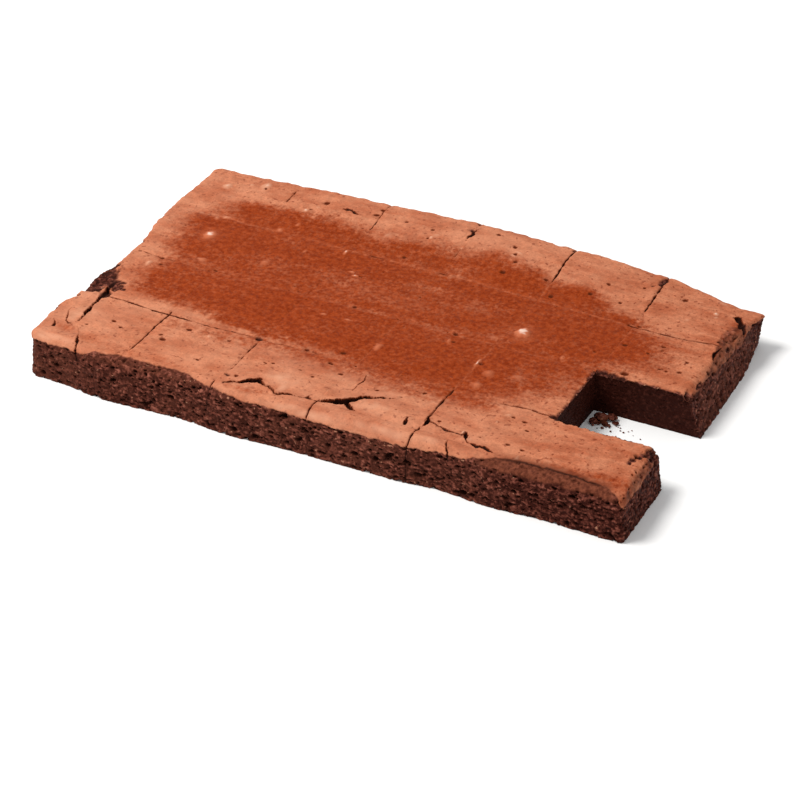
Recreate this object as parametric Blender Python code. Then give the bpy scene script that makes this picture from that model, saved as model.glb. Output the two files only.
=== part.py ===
"""A tray-baked chocolate brownie: one low slab, cut right through into a grid of portions that still lie
together, with one portion of the right-hand end taken out.

Units are metres and +Z is up. While the slab is shaped, x runs along its length from the left-hand end of
the grid of cuts, and y from its front edge. The finished slab then moves so that the origin is at the
middle of the face it rests on.
"""

import math

import bmesh
import bpy
from mathutils import Vector

# The grid of portions.
COLUMNS = 6
ROWS = 4
PORTION_LENGTH = 0.0700
PORTION_DEPTH = 0.0631
THICKNESS = 0.0300
KERF = 0.0003
TAKEN_OUT = (5, 1)  # column and row, counted from the left-hand end and from the front

LENGTH = COLUMNS * PORTION_LENGTH
DEPTH = ROWS * PORTION_DEPTH

# Each outer wall was never cut, so it wanders. A curve gives millimetres at places counted in portions
# along the wall: how far the foot stands outside the grid, how much further in the top is, and the radius
# of the rim that rolls from the top into the wall.
WALLS = {
    "front": {
        "out": ((0.0, 2.2), (0.4, 3.4), (0.9, 7.4), (1.7, 4.2), (2.2, 6.8), (2.9, 4.2), (3.9, 3.6),
                (4.3, 0.8), (4.8, 3.0), (5.4, 0.8), (6.0, 1.6)),
        "lean": ((0.0, 2.0), (6.0, 2.0)),
        "radius": ((0.0, 9.0), (0.8, 10.0), (2.4, 11.0), (6.0, 11.0)),
    },
    "back": {
        "out": ((0.0, 4.0), (1.0, 5.0), (4.6, 5.4), (5.2, 5.6), (5.7, -2.0), (6.0, -1.0)),
        "lean": ((0.0, 1.5), (6.0, 1.5)),
        "radius": ((0.0, 5.0), (6.0, 5.0)),
    },
    "left": {
        "out": ((0.0, 0.0), (0.2, 0.8), (0.7, 4.2), (1.0, -1.0), (1.4, 1.6), (1.8, -2.4), (2.2, -1.2),
                (2.8, 4.6), (3.3, 6.0), (3.7, 4.4), (4.0, 4.6)),
        "lean": ((0.0, 1.0), (4.0, 1.0)),
        "radius": ((0.0, 5.0), (4.0, 5.0)),
    },
    "right": {
        "out": ((0.0, 5.2), (0.8, 4.6), (2.2, 4.2), (3.2, 2.4), (4.0, -3.4)),
        "lean": ((0.0, 3.0), (1.0, 5.0), (2.1, 10.0), (3.2, 9.0), (3.6, 3.0), (4.0, -4.0)),
        "radius": ((0.0, 5.0), (1.8, 7.0), (3.2, 7.0), (3.8, 3.0)),
    },
}
WALL_REACH = 0.024  # how far in from a wall its wandering still moves the top
CORNER_RADIUS = {"left": 0.0085, "right": 0.0040}

# The swells of the top, in millimetres above THICKNESS: along the back rim from left to right, and there
# how far forward the swell reaches, in portions.
BACK_SWELL = ((0.0, 1.0), (0.3, 1.2), (0.8, 2.6), (1.6, 4.8), (3.2, 7.6), (4.2, 5.6), (4.9, 2.0),
              (5.4, -2.0), (6.0, -4.0))
SWELL_START = 2.9
SWELL_END = 3.9
CENTRE_DIP = 0.0008
PILLOW = 0.0004

CELLS_ALONG_WALL = 8
CELLS_INSIDE = 4
WALL_LEVELS = (0.35, 0.65, 0.82, 0.93)  # lines round a portion's walls, as shares of its height
RIM_LINES = (0.0045, 0.0110)  # lines along a rim, as distances in from the outer wall

CRUST_COLOUR = (0.56, 0.20, 0.095, 1.0)
CRUMB_COLOUR = (0.075, 0.020, 0.013, 1.0)


def smooth(low, high, value):
    """0 below low, 1 above high, and an even curve between them."""
    t = min(1.0, max(0.0, (value - low) / (high - low)))
    return t * t * (3.0 - 2.0 * t)


def read(curve, place):
    """Metres at a place along a curve of (place, millimetres) points, level beyond its ends."""
    (start, value), *rest = curve
    for end, next_value in rest:
        if place < end:
            return (value + (next_value - value) * smooth(start, end, place)) / 1000
        start, value = end, next_value
    return value / 1000


def rise(x, y):
    """Height of the top above THICKNESS."""
    u, v = x / PORTION_LENGTH, y / PORTION_DEPTH
    back = read(BACK_SWELL, u) * smooth(SWELL_START, SWELL_END, v)
    dip = CENTRE_DIP * math.sin(math.pi * u / COLUMNS) * math.sin(math.pi * v / ROWS)
    pillow = PILLOW * abs(math.sin(math.pi * u) * math.sin(math.pi * v))
    return back - dip + pillow


def round_corner(across, along, radius):
    """Distances in from the two sides of a square corner, once the corner is a quarter circle."""
    a = 1.0 - across / radius
    b = 1.0 - along / radius
    if a <= 0.0 or b <= 0.0:
        return across, along
    new_across = radius * (1.0 - a * math.sqrt(1.0 - b * b / 2.0))
    new_along = radius * (1.0 - b * math.sqrt(1.0 - a * a / 2.0))
    return new_across, new_along


def pushed_out(side, inset, place, share):
    """How far a point at this inset moves out with the wandering of its outer wall."""
    wall = WALLS[side]
    out = read(wall["out"], place) - read(wall["lean"], place) * share
    return out * (1.0 - smooth(0.0, WALL_REACH, inset))


def shaped(x, y, share, walls):
    """Where a point of the plain grid lies in the slab. share is its height over THICKNESS, and walls names
    the outer walls of its portion."""
    u, v = x / PORTION_LENGTH, y / PORTION_DEPTH
    end = "left" if "left" in walls else "right"
    face = "front" if "front" in walls else "back"
    in_x = x if end == "left" else LENGTH - x
    in_y = y if face == "front" else DEPTH - y
    depth = (1.0 - share) * THICKNESS
    end_depth = face_depth = depth
    if end in walls:
        in_x, end_depth = round_corner(in_x, depth, read(WALLS[end]["radius"], v))
    if face in walls:
        in_y, face_depth = round_corner(in_y, depth, read(WALLS[face]["radius"], u))
    if end in walls and face in walls:
        in_x, in_y = round_corner(in_x, in_y, CORNER_RADIUS[end])
    if end in walls:
        in_x -= pushed_out(end, in_x, v, share)
    if face in walls:
        in_y -= pushed_out(face, in_y, u, share)
    new_x = in_x if end == "left" else LENGTH - in_x
    new_y = in_y if face == "front" else DEPTH - in_y
    height = THICKNESS + depth - end_depth - face_depth + share * rise(x, y)
    return Vector((new_x, new_y, height))


def outer_walls(column, row):
    """Which sides of a portion are uncut outer walls of the slab."""
    places = {"left": column == 0, "right": column == COLUMNS - 1, "front": row == 0, "back": row == ROWS - 1}
    return [side for side, here in places.items() if here]


def lines_between(low, high, cells, rim_at_low, rim_at_high):
    """Where the grid lines of a portion's top lie: evenly spaced, and closer along an outer rim."""
    lines = [low + (high - low) * i / cells for i in range(1, cells)]
    if rim_at_low:
        lines += [low + step for step in RIM_LINES]
    if rim_at_high:
        lines += [high - step for step in RIM_LINES]
    return lines


def sliced_cube(low, high, x_lines, y_lines):
    """A box between two corners, sliced along the lines of a grid and at the levels of its walls."""
    bm = bmesh.new()
    bmesh.ops.create_cube(bm, size=1.0)
    bmesh.ops.translate(bm, verts=bm.verts, vec=(0.5, 0.5, 0.5))
    bmesh.ops.scale(bm, verts=bm.verts, vec=(high[0] - low[0], high[1] - low[1], 1.0))
    bmesh.ops.translate(bm, verts=bm.verts, vec=(low[0], low[1], 0.0))
    cuts = [((x, 0, 0), (1, 0, 0)) for x in x_lines]
    cuts += [((0, y, 0), (0, 1, 0)) for y in y_lines]
    cuts += [((0, 0, level), (0, 0, 1)) for level in WALL_LEVELS]
    for point, normal in cuts:
        everything = bm.verts[:] + bm.edges[:] + bm.faces[:]
        bmesh.ops.bisect_plane(bm, geom=everything, plane_co=point, plane_no=normal, dist=1e-7)
    return bm


def portion_mesh(column, row):
    """One portion: a cube that is sliced into a grid and then bent to the slab's shape."""
    walls = outer_walls(column, row)
    gap = {side: 0.0 if side in walls else KERF / 2 for side in WALLS}
    low = (column * PORTION_LENGTH + gap["left"], row * PORTION_DEPTH + gap["front"])
    high = ((column + 1) * PORTION_LENGTH - gap["right"], (row + 1) * PORTION_DEPTH - gap["back"])
    along_x = CELLS_ALONG_WALL if "front" in walls or "back" in walls else CELLS_INSIDE
    along_y = CELLS_ALONG_WALL if "left" in walls or "right" in walls else CELLS_INSIDE
    x_lines = lines_between(low[0], high[0], along_x, "left" in walls, "right" in walls)
    y_lines = lines_between(low[1], high[1], along_y, "front" in walls, "back" in walls)
    bm = sliced_cube(low, high, x_lines, y_lines)
    for vertex in bm.verts:
        vertex.co = shaped(*vertex.co, walls)
    for face in bm.faces:
        face.normal_update()
        face.material_index = 0 if face.normal.z > 0.5 else 1
    mesh = bpy.data.meshes.new(f"portion_r{row + 1}_c{column + 1}")
    bm.to_mesh(mesh)
    bm.free()
    return mesh


def baked_material(name, colour, roughness):
    material = bpy.data.materials.new(name)
    material.use_nodes = True
    shader = material.node_tree.nodes["Principled BSDF"]
    shader.inputs["Base Color"].default_value = colour
    shader.inputs["Roughness"].default_value = roughness
    shader.inputs["Metallic"].default_value = 0.0
    return material


def clear_scene():
    for obj in list(bpy.data.objects):
        bpy.data.objects.remove(obj, do_unlink=True)


def centre_on_origin(portions):
    """Moves the slab so that the middle of its box's lowest face is the origin."""
    corners = [vertex.co for portion in portions for vertex in portion.data.vertices]
    middle_x = (min(c.x for c in corners) + max(c.x for c in corners)) / 2
    middle_y = (min(c.y for c in corners) + max(c.y for c in corners)) / 2
    for portion in portions:
        portion.location = (-middle_x, -middle_y, 0.0)


def main():
    clear_scene()
    slab = bpy.data.collections.new("chocolate_brownie")
    bpy.context.scene.collection.children.link(slab)
    crust = baked_material("crust", CRUST_COLOUR, 0.62)
    crumb = baked_material("crumb", CRUMB_COLOUR, 0.85)
    portions = []
    for row in range(ROWS):
        for column in range(COLUMNS):
            if (column, row) == TAKEN_OUT:
                continue
            mesh = portion_mesh(column, row)
            mesh.materials.append(crust)
            mesh.materials.append(crumb)
            portion = bpy.data.objects.new(mesh.name, mesh)
            slab.objects.link(portion)
            portions.append(portion)
    centre_on_origin(portions)


main()
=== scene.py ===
"""The looks of a tray-baked chocolate brownie that is cut into portions, in the shared frame.

Each portion of the frame is replaced by a finely shaped one. Its crust is a thin, wrinkled and cracked skin
that rolls over the rim, and its sides are open crumb, or smooth where a knife went through. Lengths are in
millimetres until a mesh is made, and places on the slab are counted in portions, from the left-hand end (u)
and from the front edge (v) of the grid of cuts.
"""

import math

import bmesh
import bpy
import numpy as np
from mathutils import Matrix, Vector


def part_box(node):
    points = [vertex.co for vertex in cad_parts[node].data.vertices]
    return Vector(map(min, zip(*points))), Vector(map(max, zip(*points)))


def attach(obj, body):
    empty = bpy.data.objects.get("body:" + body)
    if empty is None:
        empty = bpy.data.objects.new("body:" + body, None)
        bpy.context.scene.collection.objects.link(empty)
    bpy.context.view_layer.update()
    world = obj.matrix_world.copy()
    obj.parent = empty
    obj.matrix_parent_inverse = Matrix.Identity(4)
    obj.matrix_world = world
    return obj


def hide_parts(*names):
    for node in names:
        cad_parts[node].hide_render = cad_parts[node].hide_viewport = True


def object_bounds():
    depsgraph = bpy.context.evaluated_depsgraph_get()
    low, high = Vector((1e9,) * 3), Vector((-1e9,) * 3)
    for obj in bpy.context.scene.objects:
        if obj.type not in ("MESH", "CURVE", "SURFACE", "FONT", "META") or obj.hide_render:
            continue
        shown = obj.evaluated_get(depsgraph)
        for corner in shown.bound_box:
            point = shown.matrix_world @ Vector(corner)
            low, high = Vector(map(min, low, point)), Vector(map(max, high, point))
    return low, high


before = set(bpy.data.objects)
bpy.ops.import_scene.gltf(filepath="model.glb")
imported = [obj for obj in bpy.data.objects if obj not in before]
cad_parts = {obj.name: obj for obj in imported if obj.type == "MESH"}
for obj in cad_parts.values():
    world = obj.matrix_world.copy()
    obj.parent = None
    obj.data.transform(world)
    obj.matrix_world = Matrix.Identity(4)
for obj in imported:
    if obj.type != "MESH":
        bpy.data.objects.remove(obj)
cad_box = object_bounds()

MM = 0.001  # metres

# The grid of portions, as in the frame.
COLUMNS = 6
ROWS = 4
TAKEN_OUT = (5, 1)
KERF = 0.3
THICKNESS = 30.0
FIRST = np.array(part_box("portion_r2_c2")[0]) / MM
PORTION_LENGTH, PORTION_DEPTH = (np.array(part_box("portion_r3_c3")[0]) / MM - FIRST)[:2]
CORNER = FIRST - (PORTION_LENGTH + KERF / 2, PORTION_DEPTH + KERF / 2, 0.0)
LENGTH = COLUMNS * PORTION_LENGTH
DEPTH = ROWS * PORTION_DEPTH
SIDES = {"left": (0, -1), "right": (0, 1), "front": (1, -1), "back": (1, 1)}  # axis and way it faces

# The wandering of the outer walls, as in the frame's part: (place along the wall in portions, millimetres).
WALLS = {
    "front": {
        "out": ((0, 2.2), (0.4, 3.4), (0.9, 7.4), (1.7, 4.2), (2.2, 6.8), (2.9, 4.2), (3.9, 3.6),
                (4.3, 0.8), (4.8, 3), (5.4, 0.8), (6, 1.6)),
        "lean": 2,
        "radius": ((0, 9), (0.8, 10), (2.4, 11), (6, 11)),
    },
    "back": {
        "out": ((0, 4), (1, 5), (4.6, 5.4), (5.2, 5.6), (5.7, -2), (6, -1)),
        "lean": 1.5,
        "radius": 5,
    },
    "left": {
        "out": ((0, 0), (0.2, 0.8), (0.7, 4.2), (1, -1), (1.4, 1.6), (1.8, -2.4), (2.2, -1.2),
                (2.8, 4.6), (3.3, 6), (3.7, 4.4), (4, 4.6)),
        "lean": 1,
        "radius": 5,
    },
    "right": {
        "out": ((0, 5.2), (0.8, 4.6), (2.2, 4.2), (3.2, 2.4), (4, -3.4)),
        "lean": ((0, 3), (1, 5), (2.1, 10), (3.2, 9), (3.6, 3), (4, -4)),
        "radius": ((0, 5), (1.8, 7), (3.2, 7), (3.8, 3)),
    },
}
WALL_REACH = 24
CORNER_RADIUS = {"left": 8.5, "right": 4}
BACK_SWELL = ((0, 1), (0.3, 1.2), (0.8, 2.6), (1.6, 4.8), (3.2, 7.6), (4.2, 5.6), (4.9, 2),
              (5.4, -2), (6, -4))
SWELL_START = 2.9
SWELL_END = 3.9
CENTRE_DIP = 0.8
PILLOW = 0.4

# Where the crust ends on each outer wall: millimetres up and in from the corner of wall and top, which is
# negative where the crust rolls down over the rim.
CRUST_EDGE = {
    "front": ((0, -2.5), (0.6, -1.5), (0.78, 6), (1, 8.3), (1.6, 7.5), (2, 2.5), (2.4, -1.4), (3, -3.6),
              (4, -3.6), (4.5, -2), (4.62, 3), (4.8, 9.5), (5, 12.3), (5.5, 12), (5.8, 10.5),
              (5.92, 4), (6, -5)),
    "back": -3,
    "left": ((0, -2), (1, -1), (2, 0), (4, -2)),
    "right": ((0, -7), (0.7, -8), (1, -5), (2, -3.5), (2.5, -4), (2.75, -7), (3.1, -9),
              (3.4, -7.5), (3.55, -3.5), (4, -2.5)),
}
LEDGE = ((0, 1), (0.7, 1), (0.95, -1), (2, -1.5), (2.55, -2), (2.81, 1.5), (3, 7), (3.13, 10),
         (3.45, 12), (3.56, 3), (3.7, -2), (4, -2))  # where the right-hand wall's browned ledge starts

# Marks on the crust. Places are (u, v) in portions, counted on over the rim and down the outer walls, and
# lengths are millimetres.
MOIST = {  # the borders of the dark, moist middle: (u, v), or (v, u) for the two ends
    "front": ((0.3, 1.32), (0.6, 1.23), (1.1, 1.2), (1.35, 1.1), (1.7, 0.98), (2.1, 0.9), (3, 0.86),
              (3.6, 0.82), (4.2, 0.82), (4.5, 0.93), (4.8, 1.3), (5.2, 1.8)),
    "front_blur": ((0.8, 0.13), (1.6, 0.16), (2.2, 0.24), (4.4, 0.24), (4.8, 0.2)),
    "back": ((0.3, 3.32), (0.6, 3.46), (1.1, 3.52), (1.8, 3.49), (2.1, 3.4), (2.6, 3.46), (3.1, 3.47),
             (3.35, 3.53), (3.7, 3.5), (4.1, 3.41), (4.4, 3.42), (4.6, 3.32), (4.85, 3.18), (5.5, 2.95)),
    "left": ((1, 0.52), (1.35, 0.4), (1.65, 0.28), (1.9, 0.41), (2.1, 0.4), (2.3, 0.29), (2.85, 0.25),
             (3.05, 0.42), (3.3, 0.5), (3.5, 0.62)),
    "right": ((0.9, 4.75), (1.05, 4.6), (1.2, 4.62), (1.5, 4.98), (1.95, 5.15), (2.1, 5.25), (2.4, 5.5),
              (2.85, 5.5), (3, 5.25), (3.15, 4.98), (3.4, 4.8)),
}
MOIST_PATCHES = (  # u, v, reach along u, reach along v, more moist (positive) or less (negative)
    (1.3, 2.75, 55, 14, 0.1), (4.6, 2.6, 34, 22, 0.06), (1.7, 1.6, 60, 20, 0.1), (3.35, 1.4, 45, 14, 0.12),
    (2.6, 2.35, 80, 16, -0.12), (3, 2.7, 16, 9, -0.14), (3.1, 3.15, 9, 5, -0.25), (3.7, 3.12, 20, 6, 0.08),
    (1.62, 0.8, 14, 5, 0.4), (3.55, 2.88, 30, 7, 0.12), (4.45, 1.55, 10, 9, -0.18), (4.65, 1.25, 8, 7, -0.25),
    (5.2, 1.9, 12, 6, 0.15), (2.15, 3.42, 10, 6, -0.3), (4.1, 3.48, 9, 8, -0.3), (2.45, 3.36, 8, 5, 0.2),
    (0.75, 3.33, 9, 6, 0.2), (1.22, 3.44, 8, 5, 0.2),
)
BEHIND_CUTS = {  # how pale the crust is just behind each cut along u, as (u, amount)
    1: ((0.2, 0.8), (1.2, 1), (2.2, 0.75), (3.1, 0.25), (4, 0.15), (4.5, 0.4)),
    2: ((0.3, 0.5), (0.8, 0.35), (1.5, 0.2), (2.1, 0.3), (3.6, 0.4), (4.2, 0.1), (4.8, 0.35)),
    3: ((0.4, 0.35), (1.2, 0.1), (2.6, 0.2), (3.1, 0.4), (3.6, 0.05), (4.8, 0.2)),
}
CRACKS = (  # depth, then (u, v, half width) along the crack
    (5.5, (2.06, 0.14, 0.4), (2.07, 0.155, 1), (2.14, 0.2, 0.8), (2.2, 0.22, 0.9), (2.27, 0.27, 1.7),
     (2.34, 0.305, 2), (2.39, 0.285, 1), (2.46, 0.255, 0.7), (2.53, 0.23, 0.7), (2.6, 0.18, 0.5),
     (2.65, 0.205, 0.9), (2.7, 0.22, 1.3), (2.75, 0.215, 0.7), (2.82, 0.225, 0.6), (2.88, 0.245, 1.6),
     (2.92, 0.24, 0.8), (3.02, 0.275, 0.9), (3.09, 0.31, 1.6), (3.15, 0.325, 2.8), (3.21, 0.35, 2.9),
     (3.26, 0.42, 2.2), (3.31, 0.48, 1.9), (3.37, 0.52, 1.5), (3.43, 0.55, 0.9), (3.5, 0.575, 0.6),
     (3.6, 0.615, 0.2)),
    (3.5, (3.23, 0.33, 1.9), (3.29, 0.3, 1.1), (3.34, 0.27, 0.3)),
    (5, (0.23, 1.3, 1.2), (0.26, 1.18, 1.6), (0.275, 1.03, 1.8), (0.28, 0.93, 1.1), (0.295, 0.82, 0.9),
     (0.31, 0.68, 1.1), (0.325, 0.56, 0.9), (0.34, 0.45, 0.3)),
    (2, (0.37, 0.38, 0.1), (0.46, 0.24, 0.2), (0.49, 0.17, 0.5), (0.53, 0.07, 0.5), (0.56, -0.02, 0.6),
     (0.57, -0.14, 0.5)),
    (1.5, (0.115, 0.37, 0.2), (0.14, 0.31, 0.35), (0.155, 0.26, 1)),
    (0.7, (0.175, 0.68, 0.1), (0.19, 0.52, 0.25), (0.23, 0.4, 0.3), (0.27, 0.36, 0.3), (0.33, 0.38, 0.15)),
    (1.6, (3.82, 0.37, 0.4), (3.835, 0.31, 1.1), (3.85, 0.27, 0.9)),
    (2, (3.985, 0.52, 0.3), (3.995, 0.44, 1), (4.02, 0.36, 1.1)),
    (1.4, (4.03, 0.4, 0.7), (4.07, 0.385, 0.4), (4.15, 0.355, 0.6), (4.22, 0.335, 0.8), (4.3, 0.33, 0.4),
     (4.38, 0.32, 0.6)),
    (2, (4.385, 0.405, 0.3), (4.405, 0.355, 1.1), (4.425, 0.3, 1.1), (4.44, 0.26, 0.3)),
    (1.4, (4.44, 0.26, 0.3), (4.5, 0.225, 0.2), (4.56, 0.213, 0.8), (4.64, 0.24, 1.1), (4.7, 0.206, 1.1),
     (4.74, 0.2, 0.3)),
    (1.4, (4.305, 0.16, 0.15), (4.32, 0.08, 0.35), (4.35, 0, 0.5), (4.37, -0.1, 0.4)),
    (0.8, (3.175, 0.87, 0.2), (3.2, 0.75, 0.4), (3.18, 0.66, 0.3), (3.175, 0.55, 0.15)),
    (1, (1.58, 3.7, 0.3), (1.64, 3.69, 0.9), (1.68, 3.7, 0.6), (1.73, 3.67, 0.8), (1.79, 3.65, 0.2)),
    (1.2, (2.99, 3.82, 0.6), (2.99, 3.75, 1), (2.975, 3.69, 0.4)),
    (1.6, (5.975, 3.03, 0.3), (5.97, 2.93, 0.5), (5.955, 2.86, 1.6), (5.965, 2.79, 1.5), (5.98, 2.75, 0.4)),
    (3.5, (5.795, 3.665, 1.4), (5.83, 3.68, 3), (5.86, 3.63, 3), (5.92, 3.58, 2.2), (5.98, 3.52, 1.6),
     (6.03, 3.49, 1)),
)
FOLDS = (  # height, which is negative for a valley, then (u, v, half width) along it
    (1, (2.05, 0.03, 6), (2.6, 0.08, 7), (3.2, 0.12, 7), (4, 0.11, 7), (4.55, 0.1, 5)),
    (-1, (2.7, 0.25, 1.5), (3.2, 0.27, 2), (3.6, 0.27, 2.4), (4, 0.26, 2.4), (4.4, 0.21, 2),
     (4.7, 0.16, 1.5)),
    (0.9, (2.38, 0.4, 5), (2.6, 0.36, 8), (2.95, 0.42, 7)),
    (0.6, (3.35, 0.4, 4), (3.7, 0.42, 6)),
    (0.9, (0.05, 0.1, 6), (0.5, 0.08, 7)),
    (-0.8, (0.1, 0.26, 3), (0.35, 0.28, 4), (0.5, 0.26, 2.5)),
    (0.7, (0.2, 0.5, 3), (0.22, 0.8, 4), (0.18, 1, 4)),
    (-0.5, (2.05, 0.2, 4), (2.5, 0.16, 3), (2.7, 0.14, 2)),
    (-0.5, (4.9, 0.2, 4), (5.5, 0.26, 5), (6, 0.22, 5)),
)
OPEN_CUTS = (  # along u or v, the cut's number, from, to, openness
    ("v", 1, 0.3, 1.28, 0.85), ("v", 1, 1.28, 1.95, 0.5), ("v", 1, 2, 2.4, 0.3), ("v", 1, 2.45, 2.75, 0.35),
    ("v", 1, 3, 4.4, 0.2), ("v", 1, 4.45, 5.05, 1), ("v", 2, 0.1, 0.6, 0.35), ("v", 3, 2.18, 2.36, 0.8),
    ("v", 3, 2.93, 3.03, 0.8), ("v", 3, 4.95, 5.95, 0.9), ("u", 1, 0.22, 1.08, 0.7), ("u", 1, 3.6, 3.84, 0.6),
    ("u", 2, 0.32, 0.98, 0.45), ("u", 2, -0.3, 0.16, 0.7), ("u", 2, 3.45, 4.1, 0.5),
    ("u", 3, -0.12, 0.3, 0.6), ("u", 3, 3.34, 3.5, 0.5), ("u", 3, 3.66, 3.84, 0.7), ("u", 3, 3.92, 4.1, 0.9),
    ("u", 4, 0.38, 1.05, 1), ("u", 4, -0.5, 0.3, 0.95), ("u", 4, 3.36, 4.1, 0.9), ("u", 5, 3.28, 4.1, 1),
)
CLOSED_CUTS = {"u": (0.3, 0.12, 0.45, 0.55, 0.3), "v": (0.6, 0.65, 0.9)}  # how plain the line of each is
CUT_BENDS = {  # how far the line of each cut strays, in millimetres, as (place in portions, shift)
    "u": (((0, 1.8), (1, 1.2), (2, 0), (3.1, -1.1), (4, -2)),
          ((-0.3, -1.6), (0.2, -1.4), (0.4, 1.2), (1, 1), (3, 0.3), (4, -1)),
          ((0.1, -1.6), (1, 0.5), (2, -0.3), (3.2, -1.1), (4, -2)),
          ((-0.2, -1), (0.4, -1.4), (1, -1.4), (2, -0.8), (3, 0.3), (4, 0)),
          ((1, 0), (2.5, 0.5), (3, 0.6), (3.5, -0.5), (4, -1.8))),
    "v": (((0.3, 1.8), (1, -0.9), (1.9, 0.4), (2.5, 1.8), (3.4, 1.6), (4.4, 1.9), (4.75, 3.6), (4.9, 2.8),
           (6, 0)),
          ((0.1, 0.6), (0.45, -1.4), (1, -1.8), (1.5, -1.4), (2, 0), (3, 0.6), (3.5, -1), (4, 0.6),
           (5, -0.8)),
          ((0.1, 1.2), (0.3, 2.4), (0.9, 2.8), (1.3, 2.8), (2.2, 2), (3.2, 2.3), (4, 0), (4.6, -1.2),
           (5.4, -2), (5.9, 1.6))),
}
BLISTERS = (  # u, v, reach along u, reach along v, height, and how pale the skin is, partly as a painted sheen
    (4.125, 2.34, 6.2, 7.2, 1.9, 1), (4.155, 2.3, 4.4, 3.6, 0.5, 0.85), (0.61, 2.625, 5, 6.4, 1.2, 0.95),
    (1.355, 2.385, 4, 5, 0.5, 0.42), (4.152, 1.465, 4.4, 4.6, 0.7, 0.45), (4.134, 1.22, 4, 4.6, 0.8, 0.55),
    (0.29, 3.64, 3.6, 5.2, 1, 0.8), (0.645, 3.79, 4, 5.6, 0.9, 0.75), (0.5, 3.765, 2.4, 2.4, 0.4, 0.5),
    (0.355, 1.8, 2.2, 5, 0.8, 0.75), (0.79, 2.135, 3.6, 2.2, 0.6, 0.6), (2.66, 3.61, 3.4, 2.6, 0.5, 0.4),
    (2.636, 3.56, 1.7, 1.9, 0.6, 0.95), (2.22, 3.43, 3.6, 3.4, 0.4, 0.35),
    (5.593, 3.625, 1.7, 2.6, 0.6, 0.85), (5.62, 3.55, 1.4, 2, 0.3, 0.5), (5.4, 3.35, 1.8, 2.4, 0.3, 0.4),
    (4.63, 2.08, 1.5, 3.2, 0.5, 0.7), (2.19, 2.635, 2.2, 1.6, 0.4, 0.8), (2.25, 2.58, 3.2, 1.5, 0.5, 0.95),
    (3.972, 1.61, 1.4, 6.5, 0.8, 1), (3.53, 3.65, 3.6, 1.2, 0.5, 0.7), (3.5, 3.585, 3, 1.2, 0.5, 0.6),
    (1.96, 2.977, 1.3, 3.8, 0.6, 0.9), (3.575, 1.855, 1.3, 3, 0.5, 0.55), (3.65, 1.98, 3, 1.6, 0.4, 0.4),
    (2.315, 1.73, 2.6, 1.6, 0.3, 0.7), (2.56, 1.748, 3.6, 1.4, 0.4, 0.75), (3.03, 1.41, 3, 5, 0.7, 0.6),
    (4.376, 0.355, 1.6, 3.8, 1, 0.8), (4.955, 0.22, 1.8, 4, 0.8, 0.7), (0.585, 3.05, 4.4, 2, 0.4, 0.75),
    (0.5, 2.99, 1.4, 2.6, 0.4, 0.6), (1.17, 3.065, 2.4, 2.4, 0.4, 0.7), (1.42, 2.885, 1.4, 3, 0.3, 0.4),
    (1.6, 2.79, 1.6, 2.6, 0.3, 0.45), (3.14, 3.07, 2, 1.8, 0.3, 0.6), (3.08, 2.75, 1, 2.8, 0.3, 0.45),
    (4.41, 1.54, 5, 3.4, 0.4, 0.3), (3.92, 2.12, 6, 3.4, 0.4, 0.25), (4.6, 0.86, 2.6, 2.2, 0.5, 0.55),
    (4.566, 0.7, 1.2, 2.6, 0.3, 0.5), (1.562, 0.81, 1.4, 1.8, 0.3, 0.75), (1.25, 3.525, 2.3, 2.8, 0.7, 0.95),
    (1.335, 3.62, 2.4, 2, 0.4, 0.5), (1.36, 3.44, 2, 2, 0.4, 0.5), (1.3, 3.236, 1.6, 2.4, 0.4, 0.5),
    (5.58, 3.9, 5, 1.6, 0.5, 0.4),
)
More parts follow.
